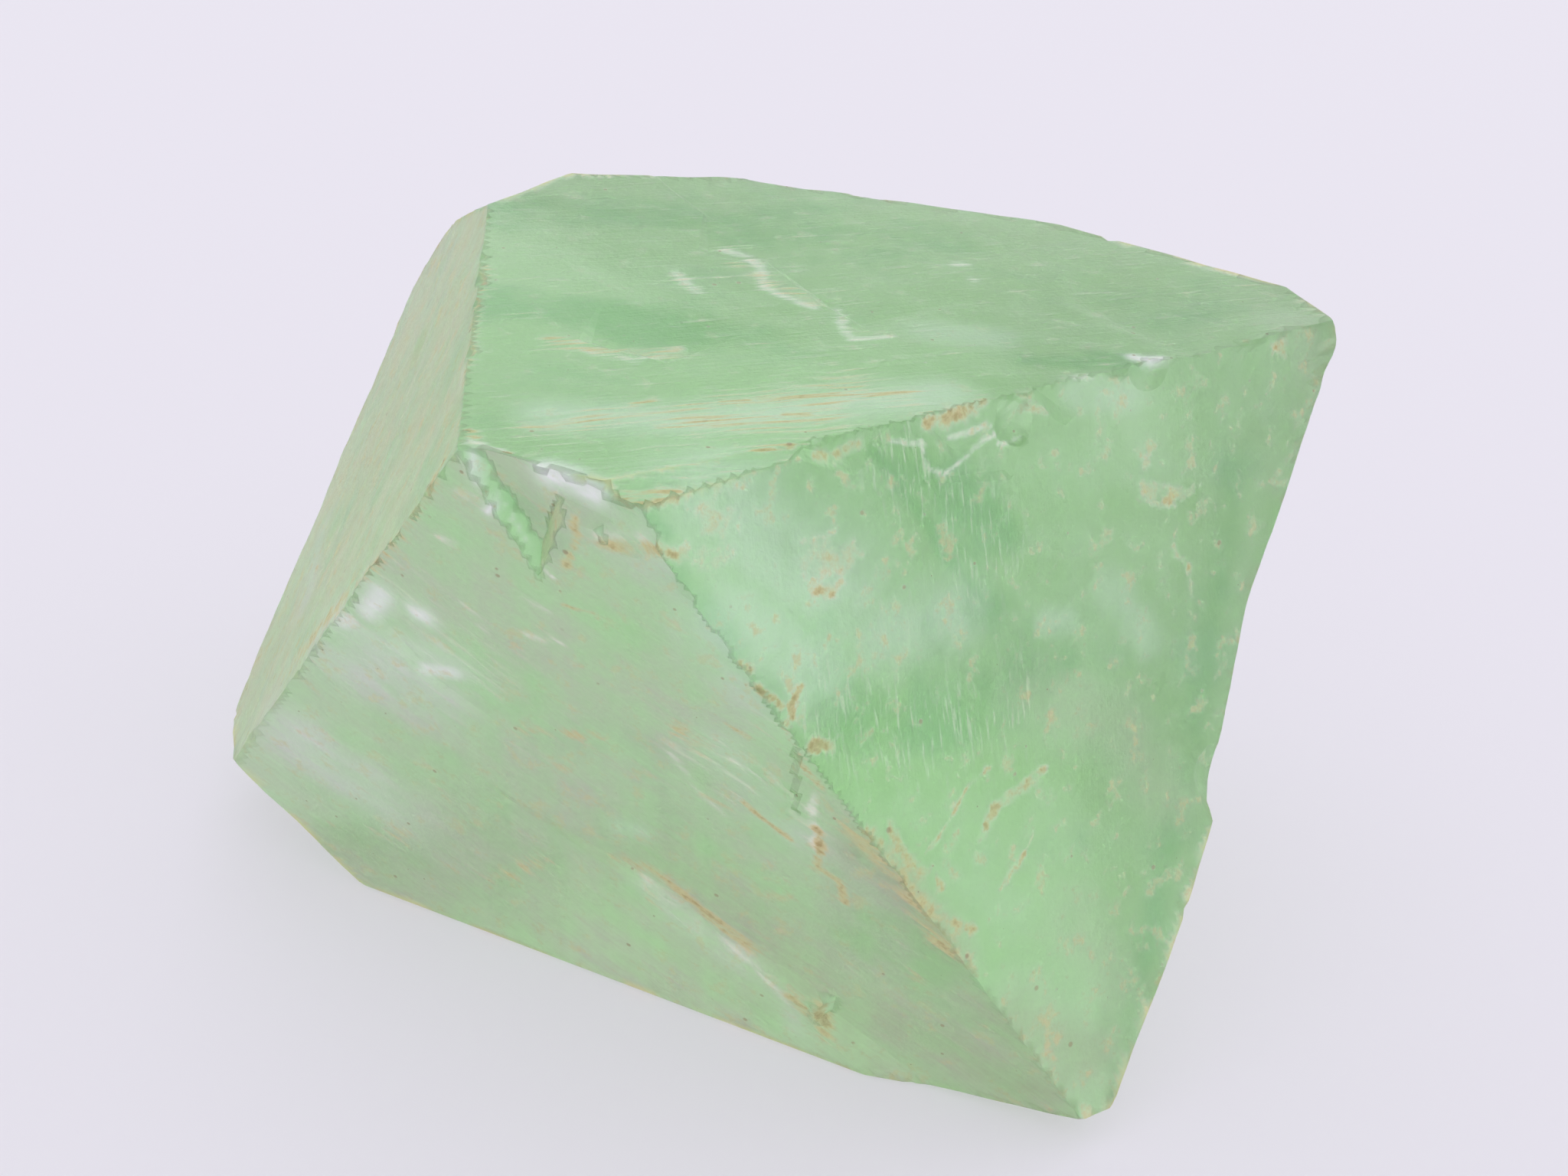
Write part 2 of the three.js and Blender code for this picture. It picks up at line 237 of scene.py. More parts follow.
def cube_sphere(count):
    """Directions (tan(x pi/4), tan(y pi/4), 1), turned to the six sides of a cube and scaled to length 1.

    Returns the welded directions and the quads that join them, wound so that they face out."""
    step = np.tan(np.linspace(-1, 1, count + 1) * math.pi / 4)
    x, y = np.meshgrid(step, step, indexing="ij")
    sheet = np.stack([x, y, np.ones_like(x)], axis=-1)
    sides = np.concatenate([sheet[..., (0, 1, 2)], sheet[..., (1, 2, 0)], sheet[..., (2, 0, 1)]])
    mirrored = np.concatenate([-sheet[..., (1, 0, 2)], -sheet[..., (0, 2, 1)], -sheet[..., (2, 1, 0)]])
    rays = np.concatenate([sides, mirrored]).reshape(-1, 3)
    rays = rays / np.linalg.norm(rays, axis=1, keepdims=True)
    _, first, shared = np.unique(np.round(rays, 6), axis=0, return_index=True, return_inverse=True)
    corner = shared.reshape(6, count + 1, count + 1)
    quads = np.stack(
        [corner[:, :-1, :-1], corner[:, 1:, :-1], corner[:, 1:, 1:], corner[:, :-1, 1:]], axis=-1
    )
    return rays[first], quads.reshape(-1, 4)


rays, quads = cube_sphere(GRID)
print(len(rays), "rays and", len(quads), "quads")

# %% [markdown]
# ## Meeting the planes and cuts
# A ray enters the region beyond a plane where reach divided by slope says. It is inside a convex
# cut from the last of its entries to the first of its exits. The nearest entry of all wins, and
# its plane is remembered, because the next step needs to know which rays stopped on which plane.

# %% Nearest surface along each ray


class Skin:
    """The distance, the surface number and the surface normal met by every ray so far."""

    def __init__(self, rays, eye):
        self.rays = rays
        self.eye = eye
        self.distance = np.full(len(rays), np.inf)
        self.surface = np.zeros(len(rays), dtype=int)
        self.normal = np.zeros_like(rays)
        self.count = 0

    def span(self, normal, reach):
        """Where the rays enter and leave the region beyond a plane: reach over slope, from the eye."""
        slope = self.rays @ normal
        gap = reach - normal @ self.eye
        slope = np.where(np.abs(slope) < 1e-9, 1e-9, slope)
        meet = gap / slope
        enter = np.where(slope > 0, meet, -np.inf if gap < 0 else np.inf)
        leave = np.where(slope > 0, np.inf, meet if gap < 0 else np.inf)
        return enter, leave

    def keep(self, enter, leave, normals, which):
        """Moves rays in to a cut where it starts nearer than what they met, and notes its surface."""
        hit = (enter < leave) & (enter > 0) & (enter < self.distance)
        self.distance[hit] = enter[hit]
        self.surface[hit] = self.count + which[hit]
        self.normal[hit] = normals[hit]

    def cut(self, planes, ball=None):
        """Cuts away what lies beyond all the planes, given as (normal, reach), and within the ball."""
        spans = [self.span(normal, reach) for normal, reach in planes]
        enters = [enter for enter, _ in spans]
        leaves = [leave for _, leave in spans]
        normals = [np.broadcast_to(normal, self.rays.shape) for normal, _ in planes]
        if ball is not None:
            centre, radius = ball
            towards = centre - self.eye
            nearest = self.rays @ towards
            half = np.sqrt(np.maximum(radius ** 2 - towards @ towards + nearest ** 2, 0))
            met = half > 0
            near = np.where(met, nearest - half, np.inf)
            enters.append(near)
            leaves.append(np.where(met, nearest + half, -np.inf))
            stop = np.where(met, near, 0)[:, None] * self.rays
            normals.append((towards - stop) / radius)
        enters = np.array(enters)
        which = enters.argmax(axis=0)
        everyone = np.arange(len(self.rays))
        chosen = np.array(normals)[which, everyone]
        self.keep(enters.max(axis=0), np.array(leaves).min(axis=0), chosen, which)
        self.count += len(enters)


def wall_plane(face, s, t, angle, slant=WALL_SLANT):
    """A wall's plane: it passes through (s, t) and leans from the side where the layer is gone."""
    normal, across, up = face_axes(face)
    turn = math.radians(angle)
    lean = math.radians(slant)
    level = across * math.cos(turn) + up * math.sin(turn)
    out = level * math.cos(lean) + normal * math.sin(lean)
    return out, out @ on_face(face, (s, t))


def ledge_planes(face, place, depth, fade, walls):
    """A ledge's floor, tilted so that it climbs back to the face over the fade, and its walls."""
    normal, across, up = face_axes(face)
    turn = math.radians(fade[0])
    floor = normal - (across * math.cos(turn) + up * math.sin(turn)) * depth / fade[1]
    floor = floor / np.linalg.norm(floor)
    return [(floor, floor @ on_face(face, place, -depth))] + [wall_plane(face, *wall) for wall in walls]


def scar_ball(face, place, width, depth):
    """The ball whose cap has the scar's width and depth."""
    radius = (width * width / 4 + depth * depth) / (2 * depth)
    return on_face(face, place, radius - depth), radius


skin = Skin(rays, EYE)
for azimuth, elevation, reach in [*FACES.values(), *BREAKS.values()]:
    skin.cut([(direction(azimuth, elevation), reach)])
for ledge in LEDGES:
    skin.cut(ledge_planes(*ledge))
for face, place, width, depth, walls in SCARS:
    skin.cut([wall_plane(face, *wall) for wall in walls], scar_ball(face, place, width, depth))
for chip in edge_chips():
    skin.cut([], chip)
print(len(np.unique(skin.surface)), "surfaces met, of", skin.count, "planes and balls")

# %% [markdown]
# ## Snapping the grid to the edges
# A ray rarely lands exactly on an edge, so the raw skin has saw-tooth edges. Where two neighbours
# stopped on different planes, the edge between them can be solved exactly: it is where both planes
# are equally far along the ray. The nearer neighbour slides to that place, and each quad is then
# split along the diagonal that follows the edge.

# %% Snap to the edges


def snap_to_edges(skin, quads):
    """Slides the nearer end of each grid line that crosses an edge to where both planes meet.

    With d the plane's distance and n its normal, the edge lies where d1 (n2 . ray) = d2 (n1 . ray).
    Returns the points, the edge angle at each, negative in a hollow, and whether the edge is a main one."""
    sides = np.concatenate([quads[:, (0, 1)], quads[:, (1, 2)], quads[:, (2, 3)], quads[:, (3, 0)]])
    sides = np.unique(np.sort(sides, axis=1), axis=0)
    i, j = sides[skin.surface[sides[:, 0]] != skin.surface[sides[:, 1]]].T
    stop = skin.rays * skin.distance[:, None]
    plane = (skin.normal * stop).sum(axis=1)

    def balance(ends):
        ray = skin.rays[ends]
        return plane[i] * (skin.normal[j] * ray).sum(axis=1) - plane[j] * (skin.normal[i] * ray).sum(axis=1)

    start, end = balance(i), balance(j)
    share = start / np.where(np.abs(start - end) < 1e-12, 1e-12, start - end)
    real = (share > 0) & (share < 1)
    i, j, share = i[real], j[real], share[real]
    near_i = share < 0.5
    mover = np.where(near_i, i, j)
    slide = np.where(near_i, share, 1 - share)
    order = np.argsort(-slide)
    i, j, share, mover = i[order], j[order], share[order], mover[order]
    ray = skin.rays[i] * (1 - share)[:, None] + skin.rays[j] * share[:, None]
    reach = plane[i] / (skin.normal[i] * ray).sum(axis=1)
    points = stop.copy()
    points[mover] = ray * reach[:, None]
    dip = ((stop[j] - stop[i]) * skin.normal[i]).sum(axis=1)
    sharp = np.zeros(len(points))
    angle = np.arccos(np.clip((skin.normal[i] * skin.normal[j]).sum(axis=1), -1, 1))
    sharp[mover] = np.where(dip < 0, angle, -angle)
    main = np.zeros(len(points), dtype=bool)
    planes = len(FACES) + len(BREAKS)
    main[mover] = (skin.surface[i] < planes) & (skin.surface[j] < planes)
    return points + skin.eye + HEART, sharp, main


def split_quads(quads, sharp):
    """Two triangles per quad, split along the diagonal whose two ends lie on an edge."""
    a, b, c, d = quads.T
    other = (np.abs(sharp[b]) + 1e-9) * (np.abs(sharp[d]) + 1e-9)
    along = other > (np.abs(sharp[a]) + 1e-9) * (np.abs(sharp[c]) + 1e-9)
    first = np.where(along[:, None], np.stack([a, b, d], 1), np.stack([a, b, c], 1))
    second = np.where(along[:, None], np.stack([b, c, d], 1), np.stack([a, c, d], 1))
    return np.concatenate([first, second])


GOLDEN_ANGLE = 137.5
WAVE_SHRINK = 0.8
WAVE_HEIGHT = 0.035
WAVE_LENGTH = 2.3
FLAT_NEAR_REST = 0.4


def slow_waves(places, longest, count=9):
    """Sines along golden-angle directions, each shorter and weaker than the one before, within -1 to 1."""
    total = np.zeros(len(places))
    for k in range(count):
        way = direction(GOLDEN_ANGLE * k, math.degrees(math.asin(1 - (2 * k + 1) / count)))
        weight = WAVE_SHRINK ** k
        total += weight * np.sin(2 * math.pi * (places @ way) / (longest * weight) + k)
    return total * (1 - WAVE_SHRINK) / (1 - WAVE_SHRINK ** count)


points, sharp, main_edge = snap_to_edges(skin, quads)
triangles = split_quads(quads, sharp)
above_rest = np.clip(points[:, 2:] / FLAT_NEAR_REST, 0, 1)
points = points + skin.normal * above_rest * slow_waves(points, WAVE_LENGTH)[:, None] * WAVE_HEIGHT
print(int((sharp != 0).sum()), "points slid to an edge;", len(triangles), "triangles")

# %% Make the mesh


def mesh_object(name, points, triangles):
    """A mesh object from whole arrays: corner places in millimetres and triangles of their numbers."""
    mesh = bpy.data.meshes.new(name)
    mesh.vertices.add(len(points))
    mesh.vertices.foreach_set("co", (points * MM).ravel())
    mesh.loops.add(triangles.size)
    mesh.loops.foreach_set("vertex_index", triangles.ravel())
    mesh.polygons.add(len(triangles))
    mesh.polygons.foreach_set("loop_start", np.arange(0, triangles.size, 3))
    mesh.update(calc_edges=True)
    mesh.validate()
    thing = bpy.data.objects.new(name, mesh)
    bpy.context.collection.objects.link(thing)
    return thing


SMOOTH_UP_TO = math.radians(14)
crystal = mesh_object("fluorite_crystal", points, triangles)
crystal.data.polygons.foreach_set("use_smooth", np.ones(len(triangles), dtype=bool))
crystal.data.set_sharp_from_angle(angle=SMOOTH_UP_TO)
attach(crystal, "root")
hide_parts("crystal")
print(crystal.name, "has", len(crystal.data.vertices), "points and", len(crystal.data.polygons), "triangles")

# %% [markdown]
# ## The camera comes first
# The marks on this crystal are read off the photograph, so the script needs to know where the
# photograph was taken from. The camera is described as a photographer would: how far round, how
# high, how much tilted, and how long a lens.

# %% Camera
PHOTO_SIZE = (2048, 1536)
SENSOR_WIDTH = 36
CLIP_END = 5.0
FOCAL_PIXELS = 3000
VIEW_AZIMUTH = 21.84
VIEW_ELEVATION = 29.16
VIEW_ROLL = 5.36
VIEW_DISTANCE = 33.0
AIM = HEART + np.array([0.82, -0.06, 0.12])


def look_from(azimuth, elevation, roll, distance, aim):
    """A camera's place and turn: it looks along +Y at azimuth 0, swung to the right, raised and rolled."""
    back = direction(azimuth - 90, elevation)
    spot = Vector((aim + back * distance) * MM)
    turn = Vector(-back).to_track_quat("-Z", "Y").to_matrix()
    return Matrix.Translation(spot) @ (turn @ Matrix.Rotation(math.radians(roll), 3, "Z")).to_4x4()


camera = bpy.data.objects.new("camera", bpy.data.cameras.new("camera"))
camera.data.sensor_width = SENSOR_WIDTH
camera.data.lens = SENSOR_WIDTH * FOCAL_PIXELS / PHOTO_SIZE[0]
camera.data.clip_start = MM
camera.data.clip_end = CLIP_END
camera.matrix_world = look_from(VIEW_AZIMUTH, VIEW_ELEVATION, VIEW_ROLL, VIEW_DISTANCE, AIM)
bpy.context.collection.objects.link(camera)
bpy.context.scene.camera = camera
print("camera at", np.round(np.array(camera.matrix_world.translation) / MM, 2).tolist(), "mm")

# %% [markdown]
# ## Marks read off the photograph
# Bruises, iron stains, brownish grey patches low on the stone, darker zones of painted shade and brighter
# ones of painted highlight and sheen each have a place. A mark is a stroke of a few pixels' positions; each
# is carried down the line of sight to the skin, so the mark stays on the stone from every side. The strokes
# only say where a finish may show: the shader breaks them up later, because real stains have ragged edges.

# %% Strokes
# each stroke: half width in millimetres, strength, places in photograph pixels
# painted highlight: the first two strokes paint the white glint of the small facet on the ridge between the
# top and front faces; the others are white bruises
WHITE_BRUISES_AND_GLINT = [
    (0.20, 1.0, [(715, 618), (745, 632), (778, 648)]),
    (0.12, 0.9, [(700, 606), (788, 640)]),
    (0.28, 0.9, [(499, 775), (483, 795)]),
    (0.22, 0.9, [(543, 801), (552, 806)]),
    (0.22, 0.8, [(445, 811), (456, 812)]),
    (0.20, 0.8, [(559, 874), (594, 876)]),
    (0.40, 0.5, [(440, 815), (500, 840), (598, 874)]),
    (0.10, 0.7, [(612, 595), (622, 628)]),
    (0.09, 0.9, [(636, 664), (644, 660)]),
    (0.10, 0.9, [(1483, 468), (1500, 470), (1517, 475)]),
]
CREAM = [
    (0.07, 0.9, [(612, 574), (660, 590)]),
    (0.06, 0.8, [(655, 655), (690, 703), (722, 752)]),
    (0.12, 0.5, [(600, 640), (652, 650)]),
    (0.12, 0.6, [(782, 698), (836, 702), (880, 718)]),
    (0.10, 0.6, [(575, 703), (602, 708)]),
    (0.12, 0.5, [(606, 790), (637, 822)]),
    (0.10, 0.5, [(679, 782), (713, 799)]),
    (0.09, 0.5, [(690, 828), (735, 838)]),
    (0.09, 0.6, [(877, 985), (912, 1034), (946, 1065)]),
    (0.09, 0.5, [(960, 990), (1020, 1040), (1062, 1062)]),
    (0.09, 0.8, [(1065, 1038), (1057, 1065), (1065, 1080), (1066, 1106)]),
    (0.16, 0.5, [(846, 1150), (918, 1214), (978, 1256), (1024, 1290), (1040, 1330)]),
    (0.13, 0.75, [(947, 328), (979, 336), (995, 352), (999, 376), (1023, 388), (1062, 400)]),
    (0.12, 0.65, [(1094, 407), (1102, 431), (1114, 441), (1161, 439)]),
    (0.14, 0.7, [(884, 356), (908, 380)]),
    (0.12, 0.65, [(755, 447), (774, 462), (805, 462), (828, 474), (885, 454)]),
    (0.13, 0.7, [(1248, 344), (1258, 345)]),
    (0.11, 0.6, [(1272, 364), (1278, 368)]),
    (0.05, 0.8, [(1238, 572), (1297, 557)]),
    (0.05, 0.8, [(1204, 576), (1211, 610), (1230, 620), (1257, 603), (1284, 580), (1299, 568)]),
    (0.05, 0.7, [(1165, 576), (1204, 580)]),
    (0.05, 0.8, [(1303, 576), (1315, 580), (1330, 574)]),
    (0.06, 0.7, [(1403, 494), (1437, 494)]),
    (0.10, 0.7, [(1211, 550), (1250, 536), (1288, 528)]),
    (0.30, 0.5, [(440, 690), (420, 740)]),
    (0.10, 0.6, [(605, 480), (600, 510)]),
]
IRON = [
    (0.06, 1.0, [(610, 564), (624, 571)]),
    (0.05, 1.0, [(660, 586), (664, 592)]),
    (0.10, 0.6, [(632, 351), (615, 451), (605, 499)]),
    (0.10, 0.9, [(590, 590), (562, 640)]),
    (0.10, 0.6, [(560, 645), (500, 730), (460, 770)]),
    (0.16, 0.8, [(452, 777), (380, 868)]),
    (0.09, 0.9, [(748, 684), (750, 703), (737, 738)]),
    (0.14, 0.8, [(809, 650), (862, 651), (878, 652)]),
    (0.12, 0.8, [(786, 712), (830, 716), (862, 716), (888, 728)]),
    (0.30, 0.55, [(935, 640), (930, 725)]),
    (0.30, 0.5, [(1060, 725), (1110, 730)]),
    (0.12, 0.55, [(1070, 772), (1088, 772)]),
    (0.06, 0.9, [(736, 789), (774, 803), (782, 810)]),
    (0.12, 0.6, [(885, 454), (850, 466), (760, 448)]),
    (0.09, 0.8, [(824, 531), (855, 521)]),
    (0.08, 0.9, [(943, 524), (977, 523)]),
    (0.12, 0.7, [(992, 523), (1040, 518), (1096, 512)]),
    (0.08, 0.9, [(1027, 542), (1057, 541)]),
    (0.08, 0.9, [(989, 586), (1034, 583)]),
    (0.08, 0.7, [(858, 558), (885, 558)]),
    (0.40, 0.55, [(900, 545), (1050, 560), (1120, 500)]),
    (0.30, 0.5, [(700, 560), (850, 540), (1000, 520), (1180, 515)]),
    (0.22, 0.65, [(720, 445), (800, 462), (880, 460)]),
    (0.20, 0.5, [(960, 345), (1060, 395)]),
    (0.12, 0.9, [(1065, 598), (1095, 590), (1126, 580)]),
    (0.13, 0.9, [(1211, 553), (1250, 540), (1288, 526)]),
    (0.10, 0.6, [(1340, 535), (1370, 545)]),
    (0.15, 0.65, [(1495, 637), (1520, 648), (1556, 638)]),
    (0.10, 0.65, [(1495, 605), (1497, 616)]),
    (0.06, 0.8, [(1537, 714), (1548, 740), (1560, 771)]),
    (0.12, 0.6, [(1663, 452), (1679, 466)]),
    (0.08, 0.8, [(965, 862), (979, 877)]),
    (0.08, 1.0, [(992, 897), (1019, 923)]),
    (0.06, 1.0, [(1048, 898), (1030, 920), (1038, 935)]),
    (0.08, 0.9, [(1023, 942), (1034, 969), (1057, 1011), (1073, 1027)]),
    (0.13, 1.0, [(1060, 975), (1080, 974)]),
    (0.08, 0.9, [(1065, 1080), (1074, 1103), (1069, 1134), (1099, 1153), (1107, 1180)]),
    (0.07, 0.7, [(916, 1038), (954, 1057)]),
    (0.07, 0.8, [(973, 1050), (1034, 1096)]),
    (0.07, 0.8, [(950, 946), (981, 965)]),
    (0.20, 0.6, [(890, 950), (915, 975)]),
    (0.12, 1.0, [(1130, 1085), (1150, 1100)]),
    (0.26, 0.7, [(1111, 1088), (1180, 1150), (1241, 1241)]),
    (0.07, 1.0, [(1225, 1150), (1232, 1165)]),
    (0.12, 0.8, [(1164, 1084), (1187, 1122), (1207, 1141)]),
    (0.10, 0.8, [(1245, 1200), (1272, 1214)]),
    (0.12, 1.0, [(1286, 1080), (1300, 1056)]),
    (0.12, 0.7, [(1275, 1090), (1300, 1056), (1329, 1038), (1363, 1011)]),
    (0.05, 0.7, [(1203, 1126), (1230, 1084), (1264, 1030), (1295, 1004)]),
    (0.05, 0.8, [(1310, 1164), (1333, 1126), (1348, 1088)]),
    (0.14, 0.6, [(677, 956), (776, 960)]),
    (0.14, 0.5, [(732, 1003), (742, 1004)]),
    (0.16, 0.75, [(802, 1117), (850, 1136), (926, 1196), (985, 1240)]),
    (0.16, 0.8, [(1035, 1301), (1074, 1328), (1079, 1350)]),
    (0.16, 1.0, [(1072, 1320), (1078, 1336)]),
    (0.16, 0.6, [(851, 1170), (848, 1182)]),
    (0.16, 0.5, [(640, 1150), (710, 1124)]),
    (0.18, 0.5, [(491, 1092), (531, 1088)]),
    (0.14, 0.6, [(1190, 1276), (1198, 1277)]),
    (0.14, 0.5, [(1356, 1381), (1376, 1380)]),
    (0.14, 0.6, [(1005, 1172), (1030, 1172)]),
]
# milky patches, partly real and partly painted highlight: the pale band on the top face, the sheen patch
# under the top-right ridge and the bright reflections low on the right face are painted light
HAZE_AND_HIGHLIGHTS = [
    (0.95, 0.9, [(930, 650), (1000, 720), (1090, 770)]),
    (0.75, 0.9, [(960, 800), (1060, 870)]),
    (0.65, 0.8, [(1150, 830), (1250, 800)]),
    (0.50, 0.9, [(720, 545), (900, 550), (1080, 530), (1230, 515)]),
    (0.28, 0.7, [(1362, 812), (1395, 815)]),
    (0.40, 0.65, [(1450, 770), (1500, 840)]),
    (0.45, 0.3, [(940, 980), (1040, 1085)]),
    (0.50, 0.4, [(1230, 1150), (1340, 1200)]),
    (0.40, 0.6, [(1214, 434), (1300, 440)]),
    (0.30, 0.7, [(1406, 515), (1479, 520)]),
    (0.20, 0.9, [(815, 1082), (836, 1086)]),
]
# painted sheen: lavender reflections on the front face by its left corner, on the left face and along the
# lower ledge
SHEEN = [
    (0.90, 0.8, [(400, 970), (480, 1040)]),
    (0.80, 0.7, [(440, 860), (560, 900)]),
    (0.40, 0.6, [(420, 700), (400, 780)]),
    (0.28, 0.8, [(840, 1160), (918, 1220), (978, 1264), (1030, 1310), (1044, 1345)]),
]
# brownish grey patches, most of them on the lower part of the stone towards the paper and on the right
# face's lower right
GREY_PATCHES = [
    (0.80, 0.6, [(860, 1120), (960, 1190), (1100, 1330)]),
    (0.80, 0.7, [(1150, 1330), (1330, 1410)]),
    (0.70, 0.8, [(1330, 1330), (1420, 1390)]),
    (0.70, 0.5, [(1400, 1200), (1460, 1300)]),
    (0.60, 0.6, [(1340, 900), (1460, 940), (1530, 1050)]),
    (0.25, 0.9, [(1340, 1420), (1385, 1430)]),
    (0.50, 0.5, [(1680, 420), (1700, 480)]),
    (0.40, 0.8, [(1120, 1100), (1180, 1160), (1250, 1250)]),
]
# painted shade: darker greens where the inside of the stone looks dim, as in the dark band through the right
# face, the band under the corner where the top, right and front faces meet, the far strip of the top face
# and the right face's right margin
SHADED_ZONES = [
    (0.25, 0.8, [(680, 655), (722, 705)]),
    (0.10, 0.9, [(805, 662), (840, 670), (872, 694)]),
    (0.50, 1.0, [(1190, 610), (1250, 650), (1310, 690)]),
    (0.40, 0.7, [(1250, 720), (1290, 790)]),
    (0.16, 1.0, [(1140, 592), (1195, 660), (1235, 720), (1290, 790)]),
    (0.60, 0.9, [(1110, 940), (1240, 950), (1340, 890)]),
    (0.30, 0.6, [(1390, 870), (1330, 940)]),
    (0.90, 0.8, [(680, 280), (760, 280), (1000, 290)]),
    (0.80, 0.6, [(1000, 290), (1250, 320)]),
    (0.60, 0.5, [(1300, 350), (1560, 400)]),
    (0.70, 1.0, [(640, 400), (760, 410), (900, 430)]),
    (0.50, 0.6, [(900, 430), (1000, 440)]),
    (0.28, 0.9, [(1348, 472), (1460, 468)]),
    (0.35, 0.6, [(1610, 620), (1575, 850), (1545, 1050), (1480, 1290)]),
    (0.50, 0.5, [(720, 960), (830, 970), (880, 1080)]),
    (0.24, 0.7, [(890, 760), (960, 850), (1010, 930)]),
]
COMB = [
    (0.60, 1.0, [(1170, 600), (1240, 660), (1290, 720)]),
    (0.70, 0.9, [(1090, 930), (1200, 960), (1330, 920)]),
    (0.50, 0.6, [(1180, 800), (1270, 760)]),
    (0.80, 0.5, [(520, 760), (640, 900)]),
    (0.50, 0.8, [(930, 980), (1030, 1070)]),
]


def seen(pixels):
    """The skin points nearest the lines of sight through some pixels, among those that face the camera."""
    spot = np.array(camera.matrix_world.translation) / MM
    right, up, back = np.array(camera.matrix_world.to_3x3()).T
    offset = np.array(pixels, dtype=float) - np.array(PHOTO_SIZE) / 2
    sight = offset[:, :1] * right - offset[:, 1:] * up - FOCAL_PIXELS * back
    sight = sight / np.linalg.norm(sight, axis=1, keepdims=True)
    facing = points[((points - spot) * skin.normal).sum(axis=1) < 0] - spot
    along = facing @ sight.T
    aside = (facing ** 2).sum(axis=1)[:, None] - along ** 2
    return facing[aside.argmin(axis=0)] + spot


def strokes_at(strokes):
    """The strongest of some strokes at every skin point: strength times exp(-(distance / width) squared)."""
    found = np.zeros(len(points))
    for width, strength, pixels in strokes:
        places = seen(pixels)
        for start, end in zip(places[:-1], places[1:]):
            run = end - start
            share = ((points - start) @ run) / max(run @ run, 1e-9)
            away = points - start - np.clip(share, 0, 1)[:, None] * run
            found = np.maximum(found, strength * np.exp(-(away ** 2).sum(axis=1) / width ** 2))
    return found


STROKES = {
    "bright": WHITE_BRUISES_AND_GLINT,
    "cream": CREAM,
    "iron": IRON,
    "haze": HAZE_AND_HIGHLIGHTS,
    "sheen": SHEEN,
    "grime": GREY_PATCHES,
    "deep": SHADED_ZONES,
    "comb": COMB,
}
marks = {name: strokes_at(strokes) for name, strokes in STROKES.items()}
for name, mark in marks.items():
    print(name, "covers", round(float((mark > 0.5).mean()), 3), "of the skin")

# %% [markdown]
# ## Finish by face
# Each face of the stone has its own film and its own fibrous grain: the cleavage steps run one way on each.
# The film is dust on the top and right faces and dust with painted sheen on the front and left faces. Shader
# masks could pick the faces, but then every ray would work them out again.
# The mesh points know their face already, so the colours and the grain are worked out once here
# and stored on the points.

# %% Film and tint colours
MILK = (0.80, 0.92, 0.86)
GREY = (0.54, 0.52, 0.45)
TAN = (0.66, 0.59, 0.42)
BROWN_GREY = (0.43, 0.37, 0.31)
LAVENDER = (0.77, 0.73, 0.76)
WHITE = (0.93, 0.91, 0.94)
FRINGE = (0.71, 0.68, 0.32)
CLEAR = (0.79, 1.0, 0.73)
DEEP_GREEN = (0.44, 0.77, 0.44)
# face: film colour and the share of the face that it covers. On the top and right faces the film is dust; on
# the front and left faces it is partly dust and partly painted sheen, which greys them as reflected light
# does.
FILMS = {
    "top": (MILK, 0.04),
    "right": (MILK, 0.08),
    "front": (GREY, 0.36),
    "left": (TAN, 0.30),
}
HIDDEN_FILM = (TAN, 0.20)
# face: the way its fibres run, their length and their width in millimetres
FIBRES = {
    "top": ((0.76, 0.75, 0.0), 1.2, 0.06),
    "right": ((-0.29, 0.17, 0.94), 0.45, 0.05),
    "front": ((1.06, 0.23, -0.65), 0.9, 0.10),
    "left": ((0.3, -0.4, 0.86), 0.9, 0.08),
}
HIDDEN_FIBRES = ((0.8, 0.5, 0.3), 0.9, 0.08)
# how far a face's finish runs along its fibres: 0 is in lumps, 1 in streaks
STREAKS = {"top": 0.9, "front": 0.6}
CLEAN_EDGES = [("top", "right"), ("right", "front"), ("front", "left"), ("top", "left"), ("top", "front")]
CLEAN_SHARE = 0.9
FRINGE_FROM = math.radians(12)
FRINGE_FULL = math.radians(30)
CLOUD_SIZE = 2.6
BLOTCH_SIZE = 0.9


def smooth(values, low, high):
    """A smooth step: with t from 0 at low to 1 at high, t squared times (3 - 2 t)."""
    t = np.clip((values - low) / (high - low), 0, 1)
    return t * t * (3 - 2 * t)


def shift_to(colours, colour, share):
    """Moves colours towards one colour by each point's share."""
    return colours + (np.array(colour) - colours) * share[:, None]


def near_edges(edges, width=0.2):
    """1 on some edges, falling as exp(-(distance / width) squared) away from them."""
    found = np.zeros(len(points))
    for first, second in edges:
        middle, along, _ = edge_line(first, second)
        away = points - HEART - middle
        away = away - np.outer(away @ along, along)
        found = np.maximum(found, np.exp(-(away ** 2).sum(axis=1) / width ** 2))
    return found


def by_face(values):
    """The value of each point's own face, from one value per face."""
    return np.array(values)[side]


outward = np.array([direction(azimuth, elevation) for azimuth, elevation, _ in FACES.values()])
side = (skin.normal @ outward.T).argmax(axis=1)
cloud = slow_waves(points, CLOUD_SIZE)
blotch = slow_waves(points, BLOTCH_SIZE)
# painted light: a yellow fringe along the main sharp edges, the colour fringe a lens lays along bright
# edges, broken up by the blotches
fringe = smooth(sharp, FRINGE_FROM, FRINGE_FULL) * (1 - CLEAN_SHARE * near_edges(CLEAN_EDGES))
marks["fringe"] = fringe * main_edge * smooth(blotch, -0.5, 0.3)
